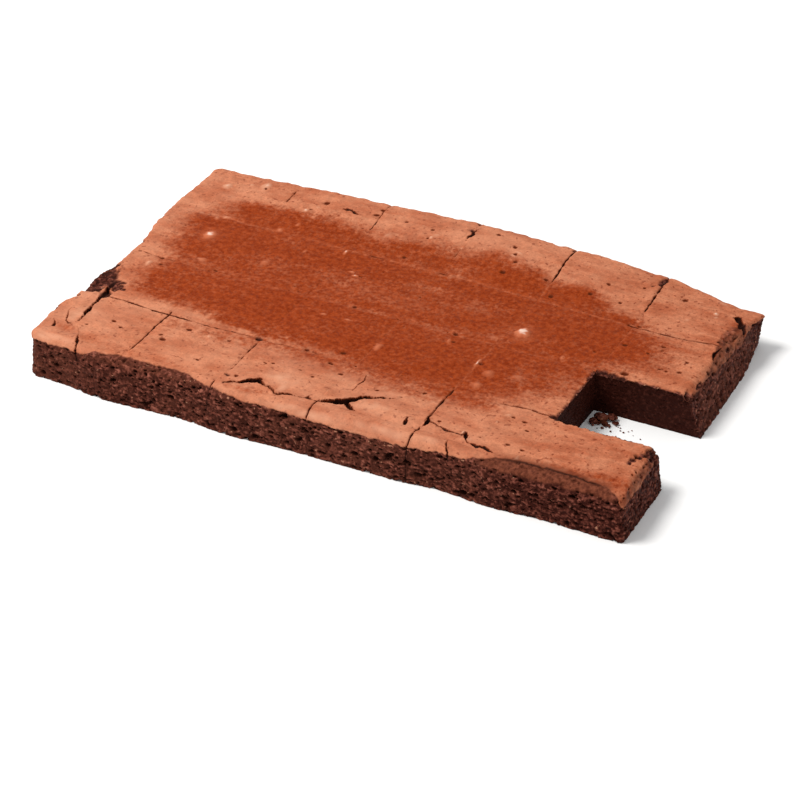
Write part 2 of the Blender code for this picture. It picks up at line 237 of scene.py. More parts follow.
PITS = (  # u, v, reach, depth
    (1.198, 0.543, 2, 1.3), (3.511, 3.3, 2, 1.2), (5.692, 2.35, 1.9, 1), (1.985, 1, 2.4, 1.6),
    (0.737, 0.535, 1.2, 0.8), (0.627, 0.605, 1.5, 0.8), (0.43, 0.42, 1.1, 0.5), (1.134, 0.608, 1.3, 0.5),
    (1.333, 0.828, 1.5, 0.7), (1.764, 0.834, 1.4, 0.7), (1.665, 0.36, 1.1, 0.5), (5.394, 2.737, 1.7, 0.8),
    (5.41, 2.66, 1.1, 0.6), (5.056, 2.595, 1.8, 0.8), (5.7, 2.55, 1.4, 0.7), (5.58, 2.32, 1.2, 0.6),
    (5.505, 2.32, 1.1, 0.6), (5.31, 2.54, 1.1, 0.5), (4.852, 2.336, 1.3, 0.6), (2.589, 3.689, 1.4, 0.7),
    (2.286, 3.715, 1.6, 0.8), (2.6, 3.53, 1.2, 0.8), (1.383, 3.734, 2, 1), (1.943, 3.73, 1.8, 0.9),
    (1.96, 3.82, 1.4, 0.8), (1.29, 3.57, 1.1, 0.9), (5.251, 3.715, 1.6, 0.9), (4.523, 3.566, 1.5, 0.7),
    (4.84, 3.69, 1.1, 0.5), (4.42, 3.333, 1.8, 0.9), (4.087, 3.13, 1.8, 0.9), (4.735, 3.326, 1.3, 0.6),
    (2.476, 1.035, 1.7, 0.9), (2.793, 0.92, 2, 1), (2.951, 0.78, 1.4, 0.7), (2.315, 0.653, 1.3, 0.7),
    (2.25, 0.608, 1.1, 0.5), (2.747, 0.608, 1.1, 0.6), (2.6, 0.66, 1, 0.5), (2.12, 0.297, 1.4, 0.8),
    (2.286, 0.465, 1, 0.5), (3.58, 2.01, 1.7, 0.9), (3.616, 1.86, 1.2, 0.7), (2.508, 2.016, 1.4, 0.7),
    (0.473, 1.847, 1.4, 0.8), (0.426, 1.97, 1.7, 0.8), (0.128, 1.995, 1.6, 0.7), (1.003, 2.01, 1.4, 0.7),
    (5.248, 2.09, 2.6, 1.4), (2.805, 1.16, 2, 1), (4.015, 1.61, 1.7, 1.2), (2.3, 2.595, 1.2, 0.8),
    (3.776, 0.869, 1.5, 0.8), (3.38, 0.67, 1.1, 0.5), (4.093, 0.459, 1.4, 0.7), (4.66, 0.855, 1.5, 0.9),
    (4.77, 0.82, 1.4, 0.7), (4.858, 0.685, 1.5, 0.8), (4.805, 0.394, 1.5, 0.8), (4.951, 0.362, 1.3, 0.7),
    (3.225, 3.85, 1.5, 0.7), (3.564, 3.51, 1.6, 0.7), (3.943, 3.372, 1.5, 0.7), (3.515, 3.615, 1.4, 0.8),
    (3.46, 3.72, 1.4, 0.5), (2.525, 3.145, 1.7, 0.6), (0.665, 3.755, 1.2, 0.8), (5.05, 2.996, 1.4, 0.8),
    (5.003, 2.957, 1.2, 0.7), (5.126, 2.97, 1, 0.6), (4.95, 2.983, 1.2, 0.6), (5.88, 3.093, 1.6, 0.8),
    (6.03, 2.55, 1.8, 1.8), (5.97, 0.53, 1.2, 0.8), (5.95, 0.46, 1, 0.6),
)
BROKEN = (  # u, v, reach along u, reach along v, depth: where the crust is gone and crumb shows
    (0.06, 1.12, 11, 8, 1.8), (0.1, 1.33, 10, 14, 2.4), (0.24, 1.28, 6, 6, 1), (0.33, 1.21, 4, 5, 0.9),
    (0.338, 1.323, 2, 2, 0.6), (0.41, 1.2, 2, 2, 0.6), (0.285, 1.04, 4, 5, 0.8), (0.03, 1.58, 6, 8, 2),
    (0.02, 2.17, 3, 4, 1.2), (0, 0.58, 3.4, 4, 1.6), (0.02, 0.9, 4, 3, 2), (0, 2.75, 3, 5, 1),
    (0, 3.3, 3, 4, 0.8), (6.01, 0.9, 7, 6, 2.4), (5.95, 0.82, 4, 2.6, 1.6), (5.9, 0.76, 3.4, 2.2, 1.4),
    (5.87, 0.69, 2.2, 2.4, 1.1), (5.855, 0.63, 1.5, 2, 0.8), (5.07, 2.02, 4, 3, 1.6),
    (5.17, 2.015, 4.4, 2.6, 1.2), (5.25, 2.005, 3, 1.8, 0.8), (6.01, 2.04, 4, 4, 1.6), (6.03, 2.3, 2, 5, 1.2),
    (4, 3.95, 1.4, 3, 0.8), (4.955, 3.86, 2.4, 5, 1), (4.905, 3.745, 1.4, 1, 0.5),
    (2.97, 3.96, 1.5, 2.4, 0.6), (2.03, 0.27, 2, 1.2, 0.6), (4.985, 1.04, 3.6, 2.6, 1.2),
    (5.94, 3.56, 4, 4, 1.6), (5.965, 2.83, 1.8, 3.4, 1), (6.05, 3.1, 2.4, 4, 1),
    (1.985, 1.005, 2.6, 2.4, 0.8), (2.955, 3.815, 3, 1.3, 0.8),
)
# Tints of the crust's own tone, and painted light: the dark ones in the creases above the rolled front lip,
# beside the big blister and along the front of the right-hand end are painted shade, and the pale ones along
# the lip, on the folds behind the front crack and round the blisters are painted highlights.
TINTS_AND_PAINTED_LIGHT = (  # u, v, reach along u, reach along v, darker (positive) or paler (negative); some are painted light
    (2.3, 0.13, 18, 5, 0.75), (3.3, 0.23, 18, 4, 0.55), (3.9, 0.24, 18, 3, 0.25), (2.95, 0.02, 32, 4, -0.85),
    (3.75, 0.06, 24, 4.5, -0.8), (0.27, 0.08, 22, 4, -0.75), (2.54, 0.41, 14, 9, -0.8),
    (2.6, 0.28, 4, 4.5, -0.9), (3.47, 0.38, 20, 8, -0.6), (5.6, 0.22, 40, 7, 0.75), (4.15, 0.09, 14, 4, -0.5),
    (0.85, 0.2, 26, 4.5, 0.42), (1.5, 0.19, 26, 4.5, 0.35), (2.55, 0.8, 40, 6, 0.25), (3.5, 0.75, 30, 5, 0.2),
    (0.31, 0.27, 12, 6, 0.6), (1.45, 0.72, 22, 8, 0.3), (5.92, 3.2, 9, 26, 0.45), (5.9, 3.6, 12, 12, 0.35),
    (4.24, 2.47, 4.5, 7, 0.5), (1.1, 1.08, 26, 4, -0.35), (4.46, 0.29, 3, 3, -0.6), (1.13, 0.86, 11, 9, 0.45),
    (1.35, 0.88, 16, 5.5, 0.45), (1.75, 0.84, 18, 7, 0.45), (4.25, 0.28, 14, 4, 0.35),
    (0.12, 3.86, 10, 7, 0.45), (0.08, 2.93, 12, 6, 0.45), (5.93, 0.02, 8, 10, 0.2), (5.8, 0.3, 16, 4, 0.3),
    (4.13, 2.33, 8, 9, -0.3), (0.61, 2.62, 7, 8.5, -0.3), (0.25, 0.53, 5, 10, -0.85),
    (0.14, 0.02, 9, 3.5, -1), (0.27, 3.55, 3.5, 4, 0.45),
)
BROWNED_CORNER = (5.96, -0.05, 8, 8)  # u, v and reach: the brown skin low on the front right corner
PALER = ((0, 0.28), (1, 0.14), (2, 0.16), (3.3, 0.26), (4.5, 0.14), (5.2, 0.03), (6, 0))  # (u, amount)
FRONT_TONE = ((0, 0.42), (0.6, 0.32), (1.2, 0), (2.5, 0.05), (4, 0), (4.6, 0.15), (6, 0.2))
DENSE = {  # how dense and smooth the crumb is just under the crust of each outer wall
    "front": ((0, 0.15), (0.8, 0.35), (2, 0.3), (4.1, 0.4), (4.4, 0.9), (6, 1)),
    "back": 0.3,
    "left": 0.3,
    "right": ((0, 0.1), (1, 0.1), (2, 0.2), (3.4, 0.2), (4, 0.2)),
}

# Fineness of the meshes.
FRONT_STEP = 0.56
STEP = 0.74
LEVEL_STEP = 0.5
CUT_LINES = (0.0, 0.12, 0.3, 0.6, 1.0, 1.5)  # lines beside a cut, as distances from it
VISUAL_KERF = 0.04
# The fourth look is painted shade in pores, cracks, pits, open cuts and hollows; the third is pale dusty
# crust and painted highlights.
LOOKS = ("crust", "moist", "dust", "cavity", "dense", "lump")  # what is stored at each vertex, from 0 to 1
KNIFE_DARK_AND_SHADE = 0.36  # how dark the cut sides are, on the scale of the painted shade: partly the denser knife-cut crumb, partly painted shade
SIDE_REACH = 12.0  # how far an edge's shift is carried over a cut side


# Curves and noise

def smooth(low, high, value):
    """0 at low, 1 at high, level beyond them, and an even curve between them."""
    t = np.clip((value - low) / (high - low), 0.0, 1.0)
    return t * t * (3.0 - 2.0 * t)


def read(curve, place):
    """The value at each place along a curve of (place, value) points, level beyond its ends. A plain number
    is the same everywhere."""
    if isinstance(curve, (int, float)):
        return curve + 0.0 * place
    places, values = np.array(curve, float).T
    at = np.clip(np.searchsorted(places, place, side="right") - 1, 0, len(places) - 2)
    t = smooth(places[at], places[at + 1], place)
    return values[at] + (values[at + 1] - values[at]) * t


def hashed(cell, seed):
    """A random whole number for each lattice cell."""
    mixed = cell[..., 0] * np.uint32(374761393) + cell[..., 1] * np.uint32(668265263)
    mixed = mixed + cell[..., 2] * np.uint32(2246822519) + np.uint32(seed * 974634777 % 2**32)
    mixed = (mixed ^ (mixed >> np.uint32(13))) * np.uint32(1274126177)
    mixed = (mixed ^ (mixed >> np.uint32(16))) * np.uint32(2654435761)
    return mixed ^ (mixed >> np.uint32(15))


def parts_of(number):
    """Three random values from -1 to 1 in one random whole number."""
    fields = [(number >> np.uint32(shift)) & np.uint32(1023) for shift in (0, 10, 20)]
    return np.stack(fields, axis=-1).astype(np.float32) / 511.5 - 1.0


def noise(points, size, seed):
    """Smooth random values, about -1 to 1, with lumps of this size."""
    q = (points / size).astype(np.float32)
    base = np.floor(q)
    f = q - base
    weight = f * f * f * (f * (f * 6.0 - 15.0) + 10.0)
    base = base.astype(np.int32).astype(np.uint32)
    total = np.zeros(len(q), np.float32)
    for corner in np.ndindex(2, 2, 2):
        step = np.array(corner, np.uint32)
        slope = parts_of(hashed(base + step, seed))
        value = np.einsum("ij,ij->i", slope, f - step.astype(np.float32))
        for axis in range(3):
            value *= weight[:, axis] if corner[axis] else 1.0 - weight[:, axis]
        total += value
    return total * 1.5


def cells(points, size, seed):
    """Distance to the nearest of scattered points, in units of their spacing, and that point's own random
    value from 0 to 1."""
    q = (points / size).astype(np.float32)
    base = np.floor(q)
    f = q - base
    base = base.astype(np.int32)
    nearest = np.full(len(q), 9.0, np.float32)
    own = np.zeros(len(q), np.float32)
    for offset in np.ndindex(3, 3, 3):
        step = np.array(offset, np.int32) - 1
        number = hashed((base + step).astype(np.uint32), seed)
        gap = step + 0.5 + 0.5 * parts_of(number) - f
        distance = np.einsum("ij,ij->i", gap, gap)
        closer = distance < nearest
        nearest = np.where(closer, distance, nearest)
        own = np.where(closer, (number >> np.uint32(7) & np.uint32(4095)) / 4095.0, own)
    return np.sqrt(nearest), own


# The slab's shape, as in the frame's part

def rise(x, y):
    """Height of the top above THICKNESS."""
    u, v = x / PORTION_LENGTH, y / PORTION_DEPTH
    back = read(BACK_SWELL, u) * smooth(SWELL_START, SWELL_END, v)
    dip = CENTRE_DIP * np.sin(math.pi * u / COLUMNS) * np.sin(math.pi * v / ROWS)
    pillow = PILLOW * np.abs(np.sin(math.pi * u) * np.sin(math.pi * v))
    return back - dip + pillow


def round_corner(across, along, radius):
    """Distances in from the two sides of a square corner, once the corner is a quarter circle."""
    a = np.maximum(1.0 - across / radius, 0.0)
    b = np.maximum(1.0 - along / radius, 0.0)
    inside = (a > 0.0) & (b > 0.0)
    new_across = np.where(inside, radius * (1.0 - a * np.sqrt(1.0 - np.minimum(b, 1.0) ** 2 / 2.0)), across)
    new_along = np.where(inside, radius * (1.0 - b * np.sqrt(1.0 - np.minimum(a, 1.0) ** 2 / 2.0)), along)
    return new_across, new_along


def x_or_y_inset(value, axis, way):
    """An x or y turned into the distance in from the left or front, or from the right or back, or turned
    back again."""
    return value if way < 0 else (LENGTH, DEPTH)[axis] - value


def shaped(x, y, share, walls):
    """Where the points of the plain grid lie in the slab, and how far each is up and in from the corner of
    each outer wall and the top. Share is 0 at the underside and 1 at the top."""
    plain, place = [x, y], (x / PORTION_LENGTH, y / PORTION_DEPTH)
    depth = (1.0 - share) * THICKNESS
    height = THICKNESS - depth + share * rise(x, y)
    insets, up_and_in = {}, {}
    for side in walls:
        axis, way = SIDES[side]
        inset = x_or_y_inset(plain[axis], axis, way)
        radius = read(WALLS[side]["radius"], place[1 - axis])
        insets[side], side_depth = round_corner(inset, depth, radius)
        up_and_in[side] = insets[side] - side_depth
        height = height + depth - side_depth
    if len(walls) == 2:
        end, face = walls
        insets[end], insets[face] = round_corner(insets[end], insets[face], CORNER_RADIUS[end])
    for side, inset in insets.items():
        axis, way = SIDES[side]
        wall, along = WALLS[side], place[1 - axis]
        wander = read(wall["out"], along) - read(wall["lean"], along) * share
        inset = inset - wander * smooth(WALL_REACH, 0.0, inset)
        plain[axis] = x_or_y_inset(inset, axis, way)
    return np.stack([*plain, height], axis=1), up_and_in


# A portion's plain grid

def side_kinds(column, row):
    """For each side of a portion: wall where it is an uncut outer wall, notch where it faces the place of
    the portion taken out, and cut where it faces a neighbour."""
    kinds = {}
    for side, (axis, way) in SIDES.items():
        beside = [column, row]
        beside[axis] += way
        inside = 0 <= beside[0] < COLUMNS and 0 <= beside[1] < ROWS
        kinds[side] = "notch" if tuple(beside) == TAKEN_OUT else "cut" if inside else "wall"
    return kinds


def quads(number, turned=False):
    """The four-cornered faces between the lines of a sheet of vertex numbers."""
    a, b, c, d = number[:-1, :-1], number[1:, :-1], number[1:, 1:], number[:-1, 1:]
    corners = (a, d, c, b) if turned else (a, b, c, d)
    return np.stack([corner.ravel() for corner in corners], axis=1)


class Grid:
    """The plain grid over a portion's surface. Its vertices are numbered by their lines along x, along y and
    down from the top, and the hidden part of a cut side has only its outline."""

    def __init__(self, column, row):
        self.kinds = side_kinds(column, row)
        self.walls = [side for side, kind in self.kinds.items() if kind == "wall"]
        step = FRONT_STEP if row == 0 else STEP
        self.xs = self.grid_lines("left", "right", column, PORTION_LENGTH, step)
        self.ys = self.grid_lines("front", "back", row, PORTION_DEPTH, step)
        levels = np.linspace(CUT_LINES[-1], THICKNESS, round(THICKNESS / LEVEL_STEP))
        self.depths = np.concatenate([CUT_LINES, levels[1:]])
        self.shallow = len(CUT_LINES) - 1
        used = np.zeros((len(self.xs), len(self.ys), len(self.depths)), bool)
        used[:, :, 0] = True
        for side, kind in self.kinds.items():
            used[self.sheet(side)][:, : self.shallow + 1 if kind == "cut" else None] = True
        for i in (0, -1):
            used[i, (0, -1), -1] = True
        self.used = used
        self.number = np.cumsum(used.ravel()).reshape(used.shape) - 1
        self.lines = np.argwhere(used)
        self.depth = self.depths[self.lines[:, 2]]

    def grid_lines(self, first, last, number, size, step):
        """Grid lines from one side to the other: evenly spaced, and closer beside a cut."""
        near, half = np.array(CUT_LINES), VISUAL_KERF / 2
        low, high = number * size, (number + 1) * size
        start = np.array([low]) if self.kinds[first] == "wall" else low + half + near
        end = np.array([high]) if self.kinds[last] == "wall" else high - half - near[::-1]
        count = max(2, round((end[0] - start[-1]) / step))
        return np.concatenate([start, np.linspace(start[-1], end[0], count + 1)[1:-1], end])

    @staticmethod
    def sheet(side):
        """Where a side's vertices are in the three-way arrays."""
        axis, way = SIDES[side]
        end = 0 if way < 0 else -1
        return (slice(None), end) if axis else (end, slice(None))

    def along(self, side):
        """The places of a side's grid lines."""
        return self.xs if SIDES[side][0] else self.ys

    def on(self, side):
        """Whether each vertex is on this side."""
        axis, way = SIDES[side]
        return self.lines[:, axis] == (0 if way < 0 else self.used.shape[axis] - 1)

    def skin(self):
        """Whether each vertex is on the top or on an outer wall."""
        on_skin = self.lines[:, 2] == 0
        for side in self.walls:
            on_skin |= self.on(side)
        return on_skin

    def flat(self):
        """Each vertex's place on the slab's skin, rolled out flat: down an outer wall it counts on."""
        places = np.stack([self.xs[self.lines[:, 0]], self.ys[self.lines[:, 1]]], axis=1)
        for side in self.walls:
            axis, way = SIDES[side]
            places[:, axis] += np.where(self.on(side), way * self.depth, 0.0)
        return places

    def faces(self):
        """The four-cornered faces of the top and outer walls, those of the other sides, and the outlines of
        the hidden faces."""
        skin = [quads(self.number[:, :, 0])]
        inner, outlines = [], [self.underside()]
        for side, kind in self.kinds.items():
            number = self.number[self.sheet(side)]
            turned = side in ("front", "right")
            open_to = self.shallow if kind == "cut" else number.shape[1]
            (skin if kind == "wall" else inner).append(quads(number[:, : open_to + 1], turned))
            if kind == "cut":
                outlines.append(self.rest_of_side(number, self.used[self.sheet(side)], turned))
        empty = np.zeros((0, 4), int)
        return np.concatenate(skin), np.concatenate(inner + [empty]), outlines

    def rest_of_side(self, number, used, turned):
        """One face for the hidden rest of a cut side, down to the underside."""
        below = range(self.shallow + 1, number.shape[1])
        down_high = [number[-1, k] for k in below if used[-1, k]]
        down_low = [number[0, k] for k in below if used[0, k]]
        bottom = [number[i, -1] for i in range(number.shape[0] - 2, 0, -1) if used[i, -1]]
        outline = list(number[:, self.shallow]) + down_high + bottom + down_low[::-1]
        return outline[::-1] if turned else outline

    def underside(self):
        """One face for the flat underside."""
        number, used = self.number[:, :, -1], self.used[:, :, -1]
        last_x, last_y = number.shape[0] - 1, number.shape[1] - 1
        ring = [(i, 0) for i in range(last_x)] + [(last_x, j) for j in range(last_y)]
        ring += [(i, last_y) for i in range(last_x, 0, -1)] + [(0, j) for j in range(last_y, 0, -1)]
        return [number[at] for at in ring if used[at]][::-1]


def normals(points, faces):
    """The smooth normal at each point of these faces."""
    corners = points[faces]
    across = np.cross(corners[:, 2] - corners[:, 0], corners[:, 3] - corners[:, 1])
    owners = faces.ravel()
    total = np.stack([np.bincount(owners, np.repeat(part, 4), len(points)) for part in across.T], axis=1)
    return total / np.maximum(np.linalg.norm(total, axis=1), 1e-9)[:, None]


# What is where on the slab

def near_path(flat, path):
    """How far each place is outside a path of (u, v, half width), and the half width there."""
    gap = np.full(len(flat), 99.0)
    width = np.ones(len(flat))
    path = np.array(path, float) * (PORTION_LENGTH, PORTION_DEPTH, 1.0)
    for start, end in zip(path, path[1:]):
        step = (end - start)[:2]
        share = np.clip((flat - start[:2]) @ step / (step @ step), 0.0, 1.0)
        half = start[2] + (end[2] - start[2]) * share
        outside = np.linalg.norm(flat - start[:2] - share[:, None] * step, axis=1) - half
        nearer = outside < gap
        gap = np.where(nearer, outside, gap)
        width = np.where(nearer, half, width)
    return gap, width


def spot(flat, u, v, reach_u, reach_v):
    """Distance from a spot on the skin, as a share of its reach."""
    return np.hypot((flat[:, 0] - u * PORTION_LENGTH) / reach_u, (flat[:, 1] - v * PORTION_DEPTH) / reach_v)


def moist_part(points, flat):
    """0 to 1 where the middle of the crust is dark and moist."""
    stretched = points * (0.4, 1.0, 1.0)
    fine = 0.045 * noise(points, 5.0, 13) + 0.03 * noise(points, 2.4, 16)
    u = flat[:, 0] / PORTION_LENGTH + 0.09 * noise(points, 17.0, 11) + fine
    v = flat[:, 1] / PORTION_DEPTH + 0.1 * noise(stretched, 12.0, 12) + 1.3 * fine
    front, back = read(MOIST["front"], u), read(MOIST["back"], u)
    left, right = read(MOIST["left"], v), read(MOIST["right"], v)
    blur = read(MOIST["front_blur"], u)
    inside = smooth(-blur, blur, v - front) * smooth(-0.21, 0.21, back - v)
    ends = smooth(-0.26, 0.26, u - left) * smooth(-0.5, 0.5, right - u)
    number = np.round(v)
    behind = v - number
    pale = smooth(-0.02, 0.02, behind) * smooth(0.15, 0.05, behind)
    amount = sum(read(curve, u) * (number == cut) for cut, curve in BEHIND_CUTS.items())
    pale = pale * amount * (0.8 + 0.5 * noise(stretched, 9.0, 14))
    uneven = 0.94 + 0.13 * noise(stretched, 18.0, 15) + 0.1 * noise(stretched, 6.0, 17)
    for middle_u, middle_v, reach_u, reach_v, more in MOIST_PATCHES:
        uneven += more * np.exp(-spot(flat, middle_u, middle_v, reach_u, reach_v) ** 2)
    return np.clip(inside * ends * (1.0 - 0.7 * pale) * uneven, 0.0, 1.15)


def cut_marks(flat, points):
    """Distance from the nearest cut's mark, how far open that cut is there, and how plain its line is."""
    nearest = np.full(len(flat), 99.0)
    openness = np.zeros(len(flat))
    plain = np.zeros(len(flat))
    ragged = smooth(-0.5, 0.3, noise(points, 4.0, 21)) * smooth(-0.8, -0.1, noise(points, 1.5, 23))
    wander = 0.8 * noise(points, 18.0, 22) + 0.35 * noise(points, 3.0, 24)
    for axis, (name, size, count) in enumerate((("u", PORTION_LENGTH, COLUMNS), ("v", PORTION_DEPTH, ROWS))):
        number = np.clip(np.round(flat[:, axis] / size), 1, count - 1)
        other = flat[:, 1 - axis] / (PORTION_DEPTH if axis == 0 else PORTION_LENGTH)
        bend = sum(read(curve, other) * (number == cut + 1) for cut, curve in enumerate(CUT_BENDS[name]))
        distance = np.abs(flat[:, axis] - number * size - bend + wander)
        here = np.zeros(len(flat))
        for kind, cut, start, end, amount in OPEN_CUTS:
            if kind == name:
                span = smooth(start - 0.04, start + 0.06, other) * smooth(end + 0.04, end - 0.06, other)
                here = np.maximum(here, np.where(number == cut, span * amount, 0.0))
        nearer = distance < nearest
        openness = np.where(nearer, here * (1.0 - (1.0 - here) * (1.0 - ragged)), openness)
        plain = np.where(nearer, np.array(CLOSED_CUTS[name])[number.astype(int) - 1], plain)
        nearest = np.minimum(nearest, distance)
    return nearest, openness, plain


def crumb_relief(points, knife):
    """How far open crumb stands out, how deep inside a pore each point is, and how much of a lump it is on,
    both from 0 to 1. Knife is 1 where the crumb was cut smooth."""
    bent = points * (1.0, 1.0, 1.7)
    bent = bent + 1.1 * np.stack([noise(points, 2.4, seed) for seed in (34, 35, 36)], axis=1)
    lumps = 0.55 * noise(bent, 3.6, 32) + 0.38 * noise(bent, 1.7, 33)
    relief = 0.5 * noise(points, 11.0, 31) + lumps
    pore = np.zeros(len(points))
    for size, share, deep, seed in ((7.5, 0.42, 3.6, 39), (4.6, 0.45, 2.6, 37), (2.8, 0.5, 1.7, 38)):
        distance, own = cells(bent, size, seed)
        reach = 0.16 + 0.3 * own / share
        hole = np.where(own < share, smooth(1.05, 0.45, distance / reach), 0.0)
        relief -= deep * hole
        pore = np.maximum(pore, hole)
    # Low places between the lumps count as pore too: painted shade.
    pore = np.maximum(pore, 1.0 - smooth(-0.75, -0.15, lumps))
    # The lump share makes the colour lighter and redder: partly a painted highlight on raised crumb.
    lump = smooth(-0.25, 0.55, lumps) * (1.0 - knife)
    return relief * (1.0 - 0.8 * knife), pore * (1.0 - 0.5 * knife), lump


def not_beside(side, up_and_in):
    """1 on the top and on this outer wall, and 0 on the outer wall round the corner."""
    others = [inset for other, inset in up_and_in.items() if other != side]
    if not others:
        return 1.0
    beside = smooth(0.0, 1.5, up_and_in[side] - others[0]) * smooth(1.5, 0.0, others[0])
    return 1.0 - beside


def dots(points, spacing, seed, share, blur, least, more):
    """1 in the middle of scattered dots and 0 between them. Share is how many of the places hold one, and
    their reach goes from least up to least + more, in units of the spacing."""
    distance, own = cells(points, spacing, seed)
    return np.where(own < share, smooth(1.0, blur, distance / (least + more * own)), 0.0)


class Skin:
    """A portion's top and outer walls: how far each point stands out, and the looks that go with it."""

    def __init__(self, points, flat, up_and_in):
        self.points, self.flat, self.up_and_in = points, flat, up_and_in
        self.u, self.v = (flat / (PORTION_LENGTH, PORTION_DEPTH)).T
        self.crust = np.ones(len(points))
        self.out, self.cavity, self.dense, self.hollow = np.zeros((4, len(points)))
        self.beside = np.full(len(points), 99.0)  # the distance from the nearest crack
        self.level = points * (1.0, 1.0, 0.2)
        shakes = [0.55 * self.noise(2.6, seed) + 1.1 * self.noise(7.0, seed + 1) for seed in (46, 58)]
        self.shaken = flat + np.stack(shakes, axis=1)

    def noise(self, size, seed):
        return noise(self.points, size, seed)

    def least(self, **looks):
        """Raises these looks to at least these values."""
        for name, values in looks.items():
            setattr(self, name, np.maximum(getattr(self, name), values))

    def bare(self, share):
        """Bares this share of the crumb."""
        self.crust = np.minimum(self.crust, 1.0 - share)

    def lay_crust(self):
        """Ends the crust on each outer wall, with uneven rims, a denser band of crumb under it, and a painted
        shadow line under the rolled edge at the front right.
        """
        ragged = 1.1 * self.noise(8.0, 41) + 0.9 * self.noise(2.6, 42)
        self.under = np.zeros(len(ragged))
        for side, inset in self.up_and_in.items():
            place = self.v if side in ("left", "right") else self.u
            edge = read(CRUST_EDGE[side], place)
            over = inset - edge
            own = not_beside(side, self.up_and_in)
            self.bare(smooth(0.25, -0.25, over + ragged))
            band = smooth(-3.5, 0.0, inset + 1.5 * ragged) * smooth(9.0, 3.0, over) * own
            self.least(dense=band * smooth(0.0, 9.0, edge) * read(DENSE[side], place))
            if side != "front":
                rim = np.exp(-((inset / 5.0) ** 2)) * own
                self.out += rim * (0.6 * self.noise(5.0, 77) + 1.2 * np.minimum(self.noise(11.0, 78), 0.1))
            else:
                rolled = smooth(5.0, 9.0, edge) * smooth(4.6, 5.0, place)
                # A painted shadow line just under the rolled crust edge.
                line = np.exp(-(((over + 0.6 * ragged + 1.0) / 1.3) ** 2)) * smooth(5.86, 5.7, place)
                self.least(under=line * rolled * own)
                self.bare(0.7 * rolled * smooth(8.0, -0.5, over + 1.5 * ragged))
            if side == "right":
                brown = np.clip(0.55 + 0.45 * self.noise(4.0, 85), 0.25, 0.85) * own
                brown = brown * smooth(1.2, -1.2, inset - read(LEDGE, place) + ragged)
                self.bare(np.maximum(brown, 0.5 * np.exp(-(spot(self.flat, *BROWNED_CORNER) ** 2))))

    def colour_crust(self):
        """Waves the crust, moistens its middle and pales the rest."""
        self.out += 0.34 * self.noise(30.0, 43) + 0.2 * self.noise(9.0, 44) + 0.05 * self.noise(2.6, 45)
        self.moist = moist_part(self.points, self.flat)
        dust = read(PALER, self.u) * (1.0 - 0.4 * smooth(0.9, 1.3, self.v))
        self.dust = dust * (1.0 + 0.9 * self.noise(12.0, 57)) * (1.0 - np.minimum(self.moist, 1.0))

    def break_and_fold(self):
        """Breaks bits off the crust, and folds it."""
        uneven = 0.22 * self.noise(3.2, 48)
        for *place, depth in BROKEN:
            gone = smooth(1.05, 0.78, spot(self.shaken, *place) + uneven)
            self.bare(gone)
            self.out -= depth * gone
            self.least(hollow=gone)
        uneven = 1.0 + 0.4 * self.noise(12.0, 56)
        for height, *path in FOLDS:
            gap, half = near_path(self.flat, path)
            self.out += height * np.exp(-((np.maximum(gap + half, 0.0) / half) ** 2)) * uneven

    def crack(self):
        """Opens the cracks, with slightly raised lips and painted shade inside."""
        rough = 0.42 * self.noise(1.9, 82) + 0.45 * self.noise(4.5, 83)
        for depth, *path in CRACKS:
            gap, half = near_path(self.shaken, path)
            self.beside = np.minimum(self.beside, np.maximum(gap, 0.0))
            gap = gap + rough * smooth(-0.2, 0.8, half)
            inside = smooth(0.15, -0.75, gap / np.maximum(half, 0.3))
            self.out -= depth * inside * smooth(0.1, 0.9, half + 0.3)
            self.out += 0.3 * np.exp(-((gap / 1.8) ** 2)) * (gap > 0.0)
            # Painted shade inside the crack.
            self.least(cavity=smooth(0.35, -0.1, gap) * smooth(0.0, 0.4, half))

    def mark(self):
        """Adds the blisters, pits, stains and painted light and shade that have a place of their own."""
        uneven = 0.15 * self.noise(2.4, 59)
        for *place, height, paleness_and_sheen in BLISTERS:
            share = spot(self.shaken, *place) + uneven
            self.out += height * np.clip(1.0 - share**2, 0.0, 1.0) ** 1.5
            # The blister's pale skin is partly a painted highlight on the dome.
            self.least(dust=1.35 * paleness_and_sheen * np.clip(1.0 - share, 0.0, 1.0) ** 0.7)
        for u, v, reach, depth in PITS:
            hole = smooth(1.0, 0.6, spot(self.shaken, u, v, 1.3 * reach, reach))
            self.out -= depth * hole
            # Painted shade in the pit.
            self.least(cavity=0.75 * hole)
        uneven = 0.85 + 0.5 * self.noise(6.0, 49)
        # Positive tints darken, partly as painted shade; negative ones pale, partly as painted highlights.
        for *place, amount in TINTS_AND_PAINTED_LIGHT:
            share = np.exp(-(spot(self.flat, *place) ** 2)) * uneven
            if amount > 0.0:
                self.moist = np.clip(self.moist + amount * share, 0.0, 1.0)
            else:
                self.least(dust=-amount * share)

    def scatter(self):
        """Adds small holes with painted shade and bubbles with a painted highlight, anywhere."""
        hole = dots(self.level, 7.5, 51, 0.4, 0.45, 0.05, 0.25)
        self.out -= 0.6 * hole
        # Painted shade in the hole.
        self.least(cavity=0.5 * hole)
        distance, own = cells(self.level, 15.0, 52)
        dome = np.where(own < 0.22, np.clip(1.0 - (distance / (0.04 + 0.3 * own)) ** 2, 0.0, 1.0), 0.0)
        self.out += 0.35 * dome
        # Painted highlight on the bubble.
        self.least(dust=0.35 * dome)

